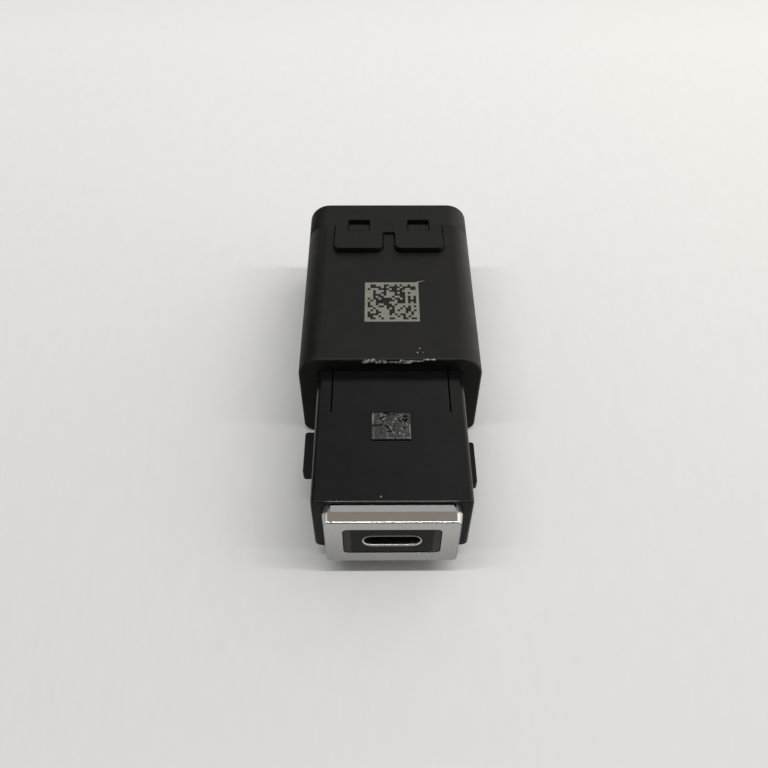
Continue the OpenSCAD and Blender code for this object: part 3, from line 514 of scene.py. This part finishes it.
def etched_mark():
    """Etched square with a light margin and a field of scattered cells that says nothing."""
    draw = random.Random(SEED)
    cell_w = (MARK_RIGHT - MARK_LEFT - 2 * MARK_MARGIN) / MARK_CELLS
    cell_l = (MARK_BACK - MARK_FRONT - 2 * MARK_MARGIN) / MARK_CELLS
    low, high = ROOF_Z - MARK_SINK, ROOF_Z + MARK_H
    inner_left, inner_right = MARK_LEFT + MARK_MARGIN, MARK_RIGHT - MARK_MARGIN
    inner_front, inner_back = MARK_FRONT + MARK_MARGIN, MARK_BACK - MARK_MARGIN
    boxes = [
        ((MARK_LEFT, MARK_FRONT, low), (MARK_RIGHT, inner_front - MARK_GAP, high)),
        ((MARK_LEFT, inner_back + MARK_GAP, low), (MARK_RIGHT, MARK_BACK, high)),
        ((MARK_LEFT, inner_front, low), (inner_left - MARK_GAP, inner_back, high)),
        ((inner_right + MARK_GAP, inner_front, low), (MARK_RIGHT, inner_back, high)),
    ]
    for row in range(MARK_CELLS):
        light = [draw.random() < MARK_SHARE for _ in range(MARK_CELLS)] + [False]
        start = None
        y = inner_front + row * cell_l
        for col, on in enumerate(light):
            if on and start is None:
                start = col
            if not on and start is not None:
                boxes.append(((inner_left + start * cell_w, y, low),
                              (inner_left + col * cell_w, y + cell_l - MARK_GAP, high)))
                start = None
    points, faces = box_rows(boxes)
    add_piece("etched_mark", points, faces, ETCHED)


SCRATCH_START = Vector((4.2, MARK_BACK - 0.25))
SCRATCH_END = Vector((6.3, MARK_BACK + 0.5))
SCRATCH_W = 0.34
SCRATCH_TIP = 0.01                       # half width that is left at its end
SCRATCH_H = 0.016


def scratch():
    """Short light scratch that leaves the mark's far corner and thins out."""
    start, end, steps = SCRATCH_START, SCRATCH_END, 12
    across = Vector((start.y - end.y, end.x - start.x)).normalized()

    def edge(i, j, z):
        t = i / steps
        uneven = 0.8 + 0.4 * noise.noise((9 * t, SEED, 0))
        half = SCRATCH_W * (1 - t) ** 0.6 * uneven / 2 + SCRATCH_TIP
        p = start.lerp(end, t) + across * half * (2 * j - 1)
        return (p.x, p.y, z)

    keep = {(i, 0) for i in range(steps)}
    points, faces = shell_from_cells(
        keep,
        lambda i, j: edge(i, j, ROOF_Z + SCRATCH_H),
        lambda i, j: edge(i, j, ROOF_Z - MARK_SINK),
    )
    add_piece("mark_scratch", points, faces, ETCHED)


# Grid of the torn edge: how far it goes back over the roof and down the front, and its cells
SCUFF_BACK = 1.2
SCUFF_DOWN = 0.5
SCUFF_STEP = 0.06
SCUFF_SINK = 0.02
# Lift of the torn edge: everywhere, per millimetre of hanging strip, and of its roughness
SCUFF_LIFT, SCUFF_HANG, SCUFF_ROUGH = 0.025, 0.22, 0.03
TEAR_EASE = 0.15                         # distance over which one tear goes over into the next
# Torn strip along the rim: from x, to x, its middle past the start of the rounding, its half width
TEARS = (
    (-4.7, -3.8, 0.76, 0.2),
    (-3.7, -3.3, 0.56, 0.3),
    (-3.2, -2.95, 0.66, 0.1),
    (-2.9, -2.6, 0.46, 0.34),
    (-2.5, -0.9, 0.76, 0.25),
    (-0.8, 1.4, 0.82, 0.14),
    (1.5, 3.3, 0.74, 0.3),
    (3.4, 5.3, 0.6, 0.1),
    (5.4, 7.5, 0.32, 0.1),
)


def rim_point(s, lift):
    """Point (y, z) at arc length s from the roof over the rear housing's front top edge."""
    flat = SCUFF_BACK - REAR_RIM
    arc = REAR_RIM * math.pi / 2
    y_centre, z_centre = REAR_FRONT + REAR_RIM, ROOF_Z - REAR_RIM
    if s < flat:
        return REAR_FRONT + SCUFF_BACK - s, ROOF_Z + lift
    if s < flat + arc:
        turn = (s - flat) / REAR_RIM
        r = REAR_RIM + lift
        return y_centre - r * math.sin(turn), z_centre + r * math.cos(turn)
    return REAR_FRONT - lift, z_centre - (s - flat - arc)


def torn_edge():
    """Ragged pale strip torn out of the rear housing's front top edge and hanging over it."""
    arc_start = SCUFF_BACK - REAR_RIM
    length = arc_start + REAR_RIM * math.pi / 2 + SCUFF_DOWN
    left, right = TEARS[0][0], TEARS[-1][1]
    cols = int((right - left) / SCUFF_STEP)
    rows = int(length / SCUFF_STEP)

    def place(i, j):
        return left + i * SCUFF_STEP, j * SCUFF_STEP

    def strip(x):
        """Middle and half width of the strip at x, eased from one tear into the next."""
        middle = half = total = 0.0
        for x0, x1, m, h in TEARS:
            near = math.exp(-(max(x0 - x, 0, x - x1) / TEAR_EASE) ** 2)
            middle, half, total = middle + near * m, half + near * h, total + near
        return middle / total, half / total

    def torn(i, j):
        x, s = place(i + 0.5, j + 0.5)
        middle, half = strip(x)
        from_middle = s - arc_start - middle
        ragged = noise.noise((x * 3.1, s * 1.2, 3.7)) + 0.6 * noise.noise((x * 8, s * 2.5, 8.1))
        smear = max(0, noise.noise((x * 5, 0.5, 2.2))) if from_middle < 0 else 0
        return half * (1 + 0.7 * ragged) + 1.2 * half * smear - abs(from_middle) > 0

    def lift(i, j):
        x, s = place(i, j)
        middle, half = strip(x)
        hang = max(0, min(1, (s - arc_start - middle) / half)) * half
        rough = 1 + noise.noise((x * 5, s * 3, 1.3))
        return SCUFF_LIFT + SCUFF_HANG * hang + SCUFF_ROUGH * rough

    def outer(i, j):
        x, s = place(i, j)
        return (x, *rim_point(s, lift(i, j)))

    def inner(i, j):
        x, s = place(i, j)
        return (x, *rim_point(s, -SCUFF_SINK))

    keep = no_corner_touch({(i, j) for i in range(cols) for j in range(rows) if torn(i, j)})
    points, faces = shell_from_cells(keep, outer, inner)
    add_piece("torn_edge", points, faces, SCUFFED, True)


# Chips of torn plastic: three on the roof and one on the nose
CHIPS = (
    (4.44, REAR_FRONT + 1.58, ROOF_Z),
    (4.83, REAR_FRONT + 2.48, ROOF_Z),
    (5.31, REAR_FRONT + 1.63, ROOF_Z),
    (-1.64, NOSE_FRONT + 0.96, NOSE_TOP),
)
CHIP_SIZE, CHIP_SPREAD = 0.1, 0.09       # smallest radius, and how much larger a chip may be
CHIP_SINK, CHIP_H = 0.02, 0.05
CHIP_SIDES = 6


def chips():
    """Small pale chips of torn plastic that stay on the roof and on the nose."""
    draw = random.Random(SEED + 1)
    sides = CHIP_SIDES
    points, faces = [], []
    for x, y, z in CHIPS:
        size = CHIP_SIZE + CHIP_SPREAD * draw.random()
        base = len(points)
        for level, r in ((-CHIP_SINK, size), (CHIP_H, size * 0.6)):
            for k in range(sides):
                a = 2 * math.pi * k / sides + draw.random() * 0.5
                points.append((x + r * math.cos(a), y + 1.3 * r * math.sin(a), z + level))
        faces.append([base + k for k in reversed(range(sides))])
        faces.append([base + sides + k for k in range(sides)])
        for k in range(sides):
            n = (k + 1) % sides
            faces.append([base + k, base + n, base + sides + n, base + sides + k])
    add_piece("torn_chips", points, faces, SCUFFED)


# Gouges in the pad's face: from, to, half width and depth, measured from the pad's back left corner
GOUGES = (
    ((1.28, 1.16), (1.85, 0.83), 0.15, 0.1),
    ((2.05, 0.02), (2.6, -0.05), 0.2, 0.1),
    ((2.4, 0.35), (3.05, 0.28), 0.12, 0.08),
    ((3.3, 0.3), (3.6, 0.23), 0.14, 0.05),
    ((0.2, 2.4), (1.3, 2.38), 0.14, 0.1),
    ((1.3, 2.38), (1.72, 2.12), 0.12, 0.06),
    ((1.66, 1.6), (1.86, 1.68), 0.12, 0.06),
    ((4.0, 1.0), (4.12, 1.08), 0.15, 0.07),
    ((4.3, 1.3), (4.7, 1.85), 0.13, 0.05),
    ((5.1, 0.62), (5.56, 0.7), 0.19, 0.1),
    ((4.8, 1.28), (5.27, 1.6), 0.16, 0.1),
    ((5.27, 1.6), (5.56, 1.16), 0.15, 0.1),
    ((5.05, 2.8), (5.2, 3.0), 0.15, 0.07),
    ((2.55, 3.55), (3.04, 3.6), 0.12, 0.1),
    ((3.04, 3.6), (3.2, 3.9), 0.08, 0.05),
    ((2.1, 2.4), (2.9, 3.2), 0.16, 0.04),
)
# Ridges pushed up beside them: from, to, half width and height
RIDGES = (
    ((1.45, 0.1), (1.58, 0.9), 0.2, 0.04),
    ((1.75, 1.4), (2.15, 1.05), 0.14, 0.035),
    ((2.55, 0.22), (2.85, 0.18), 0.1, 0.03),
    ((1.9, 0.5), (2.2, 0.45), 0.14, 0.025),
    ((3.36, 1.85), (3.78, 1.05), 0.2, 0.028),
    ((4.1, 0.75), (4.25, 0.72), 0.14, 0.03),
    ((4.75, 0.4), (5.05, 0.42), 0.13, 0.03),
    ((4.8, 1.75), (4.85, 2.2), 0.14, 0.035),
    ((5.38, 1.85), (5.5, 2.4), 0.14, 0.035),
    ((2.85, 2.65), (3.05, 3.2), 0.17, 0.04),
    ((3.15, 3.65), (3.5, 3.95), 0.15, 0.035),
    ((2.35, 3.85), (2.45, 4.0), 0.13, 0.03),
    ((4.25, 3.8), (4.5, 4.05), 0.13, 0.03),
    ((4.5, 4.05), (5.1, 4.1), 0.12, 0.03),
    ((0.18, 0.1), (0.18, 2.2), 0.2, 0.035),
    ((0.25, 2.9), (0.28, 5.0), 0.17, 0.026),
    ((5.9, 2.3), (5.92, 3.4), 0.17, 0.04),
    ((6.0, 3.4), (6.0, 5.0), 0.15, 0.028),
    ((2.0, 4.85), (5.8, 4.85), 0.14, 0.025),
)
PAD_STEP = 0.07
PAD_SKIN = 0.04                          # height of the scraped face above the solid
PAD_LEAST = 0.004                        # height that is left at the bottom of a gouge
PAD_SINK = 0.02
CHATTER_W, CHATTER_LEN = 1.9, 2.2        # back left field of the pad, with ripples from a tool
NICKS = 46
NICK_MARGIN, NICK_FRONT = 0.3, 0.9       # strips without nicks round the pad and at its front
NICK_LENGTH = (0.1, 0.4)
NICK_HALF = (0.1, 0.15)
NICK_RISE = (-0.028, 0.026)              # nicks go down and burrs go up


def pad_nicks():
    """Nicks and burrs scattered over the pad: from, to, half width and how far down or up."""
    draw = random.Random(SEED + 2)
    nicks = []
    for _ in range(NICKS):
        u = draw.uniform(NICK_MARGIN, PAD_W - NICK_MARGIN)
        a = Vector((u, draw.uniform(NICK_MARGIN, PAD_LEN - NICK_FRONT)))
        turn = draw.uniform(0, math.pi)
        b = a + draw.uniform(*NICK_LENGTH) * Vector((math.cos(turn), math.sin(turn)))
        nicks.append((a, b, draw.uniform(*NICK_HALF), draw.choice(NICK_RISE)))
    return nicks


PAD_NICKS = pad_nicks()


def to_segment(p, a, b):
    """Distance of p from the line between a and b."""
    a, b = Vector(a), Vector(b)
    t = max(0, min(1, (p - a).dot(b - a) / (b - a).length_squared))
    return (p - a.lerp(b, t)).length


def pad_height(u, v):
    """Height of the scraped face above the pad's solid, at u to the right and v to the front."""
    p = Vector((u, v))
    h = PAD_SKIN + 0.008 * noise.noise((u * 2, v * 2, 0.4))
    if u < CHATTER_W and v < CHATTER_LEN:
        h += 0.009 * math.sin(u * 22 + 2 * noise.noise((u, v * 1.5, 5)))
    h += 0.022 * noise.noise((u * 4, v * 3.4, 7.7))
    for a, b, half, rise in PAD_NICKS:
        h += rise * max(0, 1 - (to_segment(p, a, b) / half) ** 2)
    for a, b, half, height in RIDGES:
        far = to_segment(p, a, b) + 0.05 * noise.noise((u * 6, v * 6, half * 40))
        h += height * max(0, 1 - (far / half) ** 2)
    for a, b, half, depth in GOUGES:
        far = to_segment(p, a, b) + 0.05 * noise.noise((u * 5, v * 5, half * 40))
        h -= depth * max(0, min(1, 1.8 * (1 - (far / half) ** 2)))
    return max(h, PAD_LEAST)


def scraped_pad():
    """Scraped face of the raised pad on the nose."""
    cols, rows = round(PAD_W / PAD_STEP), round(PAD_LEN / PAD_STEP)

    def place(i, j, z):
        return (PAD_W * (i / cols - 0.5), PAD_BACK - PAD_LEN * (1 - j / rows), z)

    def top(i, j):
        u, v = PAD_W * i / cols, PAD_LEN * (1 - j / rows)
        return place(i, j, PAD_TOP + pad_height(u, v))

    keep = {(i, j) for i in range(cols) for j in range(rows)}
    points, faces = shell_from_cells(keep, top, lambda i, j: place(i, j, PAD_TOP - PAD_SINK))
    add_piece("scraped_pad", points, faces, PAD_FACE)


# Stage, light and camera

# Table top: its left and right colour, near and far, and where those hold in millimetres; the
# colour grows paler far off and on the right as painted light
TABLE_NEAR = ((0.61, 0.61, 0.61), (0.64, 0.639, 0.636))
TABLE_FAR = ((0.845, 0.846, 0.847), (0.892, 0.891, 0.884))
TABLE_DEPTH = (-60, 140)
TABLE_WIDTH = (-80, 80)
TABLE_HALF = 2.0                         # half of the table's side, in metres


def floor():
    """Pale table top with faint fibres, painted darker near and on the left and paler far and on
    the right as painted light.
    """
    mat, tree, shader = new_material("table_top", (0.75, 0.75, 0.745), 0.5)
    fibres = cloudy(tree, millimetres(tree, (1, 0.35, 1)), 2.2, 4, 0.6)
    uneven = spread(tree, fibres, 0.3, 0.7, -0.04, 0.04)
    ahead = sums(tree, "ADD", spread(tree, along(tree, 1), *TABLE_DEPTH, 0, 1), uneven)
    across = spread(tree, along(tree, 0), *TABLE_WIDTH, 0, 1)
    near, far = blend(tree, across, *TABLE_NEAR), blend(tree, across, *TABLE_FAR)
    feed(tree, shader.inputs["Base Color"], blend(tree, ahead, near, far))
    relief(tree, shader, fibres, 0.01)
    corners = [(TABLE_HALF * i, TABLE_HALF * j, 0) for i, j in ((-1, -1), (1, -1), (1, 1), (-1, 1))]
    mesh = bpy.data.meshes.new("table_top")
    mesh.from_pydata(corners, [], [(0, 1, 2, 3)])
    obj = bpy.data.objects.new("table_top", mesh)
    mesh.materials.append(mat)
    bpy.context.scene.collection.objects.link(obj)


# Lamp, in metres and watts
LAMP_PLACE = (0.14, -0.101, 0.8)
LAMP_LENGTH = 1.5
LAMP_WIDTH = 0.03
LAMP_POWER = 5.6


def light_bar():
    """Long white lamp across the part, above it and facing down."""
    data = bpy.data.lights.new("light_bar", "AREA")
    data.shape = "RECTANGLE"
    data.size = LAMP_LENGTH
    data.size_y = LAMP_WIDTH
    data.energy = LAMP_POWER
    obj = bpy.data.objects.new("light_bar", data)
    obj.location = LAMP_PLACE
    bpy.context.scene.collection.objects.link(obj)


ROOM_DARK = (0.12, 0.12, 0.12)
# Patches of the room, each over the ones before: direction, angles of its edge and core, colour
ROOM_PATCHES = (
    ((0, 0, 1), 88, 60, (0.45, 0.45, 0.44)),            # open upper half
    ((1, 0.1, 0.5), 60, 22, (1.6, 1.55, 1.42)),         # bright right wall
    ((-1, 0, 0.4), 55, 25, (0.72, 0.72, 0.71)),         # left wall
    ((-0.75, 0.5, 0.45), 42, 18, (0.12, 0.12, 0.12)),   # dark corner at the left back
    ((0.75, 0.5, 0.45), 42, 18, (1, 0.94, 0.78)),       # warm corner at the right back
    ((0, -0.85, 0.5), 62, 35, (0.16, 0.16, 0.16)),      # open front
    ((0.06, 0.5, 0.87), 26, 12, (0.68, 0.68, 0.67)),    # upper back
    ((0, 0.13, 0.99), 15, 9, (0.42, 0.36, 0.31)),       # brownish roof next to the lamp
)


def room():
    """Photo box: light side walls and back, a dim front and a brownish roof next to the lamp."""
    world = bpy.data.worlds.new("room")
    world.use_nodes = True
    tree = world.node_tree
    where = tree.nodes.new("ShaderNodeTexCoord").outputs["Generated"]

    def towards(direction, edge, core):
        """Share that grows from 0 at the edge angle to 1 at the core angle round a direction."""
        facing = tree.nodes.new("ShaderNodeVectorMath")
        facing.operation = "DOT_PRODUCT"
        facing.inputs[1].default_value = Vector(direction).normalized()
        tree.links.new(where, facing.inputs[0])
        limits = (math.cos(math.radians(angle)) for angle in (edge, core))
        return spread(tree, facing.outputs["Value"], *limits, 0, 1, True)

    sky = ROOM_DARK
    for direction, edge, core, color in ROOM_PATCHES:
        sky = blend(tree, towards(direction, edge, core), sky, color)
    feed(tree, tree.nodes["Background"].inputs["Color"], sky)
    bpy.context.scene.world = world


# Camera as fitted to the photograph's straight edges: metres, degrees and millimetres
CAMERA_PLACE = Vector((-0.001902, -0.089414, 0.113661))
CAMERA_PITCH, CAMERA_YAW, CAMERA_ROLL = (math.radians(angle) for angle in (50.42, 0.589, 0.324))
CAMERA_LENS = 36.13
CAMERA_SENSOR = 36
CAMERA_NEAR = 0.005


def camera():
    """Camera at the photograph's place and angle."""
    data = bpy.data.cameras.new("camera")
    data.sensor_width = CAMERA_SENSOR
    data.lens = CAMERA_LENS
    data.clip_start = CAMERA_NEAR
    east, north = math.sin(CAMERA_YAW), math.cos(CAMERA_YAW)
    level = math.cos(CAMERA_PITCH)
    ahead = Vector((east * level, north * level, -math.sin(CAMERA_PITCH)))
    right = Vector((north, -east, 0))
    up = right.cross(ahead)
    level_right = math.cos(CAMERA_ROLL) * right + math.sin(CAMERA_ROLL) * up
    level_up = -math.sin(CAMERA_ROLL) * right + math.cos(CAMERA_ROLL) * up
    turn = Matrix((level_right, level_up, -ahead)).transposed()
    obj = bpy.data.objects.new("camera", data)
    obj.matrix_world = Matrix.Translation(CAMERA_PLACE) @ turn.to_4x4()
    bpy.context.scene.collection.objects.link(obj)
    bpy.context.scene.camera = obj


dress_solids()
etched_mark()
scratch()
torn_edge()
chips()
scraped_pad()
floor()
room()
light_bar()
camera()
bpy.context.scene.view_settings.view_transform = "Standard"
